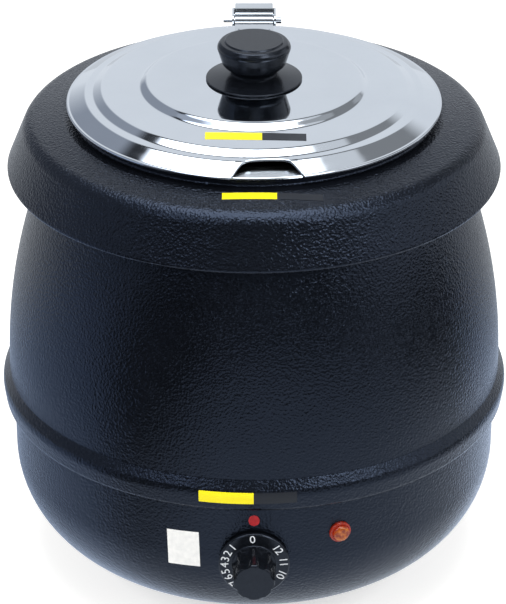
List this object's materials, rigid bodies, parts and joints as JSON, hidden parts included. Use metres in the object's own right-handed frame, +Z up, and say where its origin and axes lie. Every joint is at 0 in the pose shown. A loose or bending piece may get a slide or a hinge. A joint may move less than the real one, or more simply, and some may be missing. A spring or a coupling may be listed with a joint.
{
  "type": "soup kettle",
  "caption": "Round countertop soup kettle: heated water pan in a painted body, lift-off collar with a hinged notched lid, hanging pot, thermostat knob and pilot lamp.",
  "frame": {"origin": "on the kettle's axis, in the plane the feet stand on", "axes": "+Z up the kettle's axis, -Y towards the thermostat knob at the front, +X to the right seen from the front"},
  "size_m": [0.3404, 0.3665, 0.3706],
  "materials": {
    "black_paint": "hammered black paint",
    "stainless": "polished stainless steel",
    "hinge_steel": "polished stainless steel strip",
    "aluminium": "mill finish",
    "phenolic": "satin black moulding",
    "plated_steel": "zinc plated",
    "heater_sheath": "oxidised sheath",
    "moulding": "moulded",
    "copper": "drawn copper",
    "brass": "turned",
    "amber_lens": "clear amber moulding",
    "lamp_glass": "glass",
    "rubber": "moulded rubber",
    "wire_red": "sleeved wire",
    "wire_blue": "sleeved wire",
    "wire_green": "sleeved wire"
  },
  "bodies": {
    "base": {"base_plate": "black_paint", "base_screws": "plated_steel", "cord_gland": "moulding", "cord_gland_nut": "moulding", "earth_lead": "wire_green", "earth_stud": "brass", "foot_front": "rubber", "foot_nuts": "plated_steel", "foot_rear_left": "rubber", "foot_rear_right": "rubber", "foot_screws": "plated_steel", "heat_shield": "aluminium", "heater_clamp_plate": "plated_steel", "heater_lead": "wire_red", "heater_nuts": "plated_steel", "heating_element": "heater_sheath", "lamp_lead": "wire_red", "lamp_return_lead": "wire_blue", "live_lead": "wire_red", "lower_shell": "black_paint", "neutral_lead": "wire_blue", "overheat_cutout": "plated_steel", "pan_rivets": "aluminium", "pilot_lamp_bulb": "lamp_glass", "pilot_lamp_lens": "amber_lens", "pilot_lamp_nut": "moulding", "sensor_clip": "plated_steel", "shield_nuts": "plated_steel", "shield_spacers": "plated_steel", "switched_lead": "wire_red", "terminal_block": "moulding", "terminal_screws": "plated_steel", "thermostat": "moulding", "thermostat_nut": "plated_steel", "thermostat_sensor": "copper", "upper_shell": "black_paint", "water_pan": "aluminium"},
    "control": {"control_knob": "phenolic", "thermostat_shaft": "plated_steel"},
    "collar": {"collar": "black_paint", "hinge_bracket": "hinge_steel", "bracket_screws": "hinge_steel", "bracket_nuts": "hinge_steel"},
    "lid": {"lid": "stainless", "hinge_leaf": "hinge_steel", "leaf_rivets": "hinge_steel", "hinge_pin": "hinge_steel", "lid_knob": "phenolic", "knob_guard": "phenolic", "knob_screw": "plated_steel", "knob_washer": "plated_steel"},
    "inset": {"inset": "stainless"}
  },
  "joints": [
    {"name": "collar_lift", "type": "slide", "parent": "base", "child": "collar", "axis": [0, 0, 1], "range_m": [0, 0.27]},
    {"name": "lid_hinge", "type": "hinge", "parent": "collar", "child": "lid", "pos_m": [0, 0.1275, 0.33146], "axis": [-1, 0, 0], "range_deg": [0, 95]},
    {"name": "inset_lift", "type": "slide", "parent": "base", "child": "inset", "axis": [0, 0, 1], "range_m": [0, 0.27]},
    {"name": "knob_turn", "type": "hinge", "parent": "base", "child": "control", "pos_m": [0, -0.1675, 0.078], "axis": [0, 1, 0], "range_deg": [0, 308]}
  ],
  "couplings": [
    {"joint": "inset_lift", "follows": "collar_lift", "ratio": 1}
  ]
}
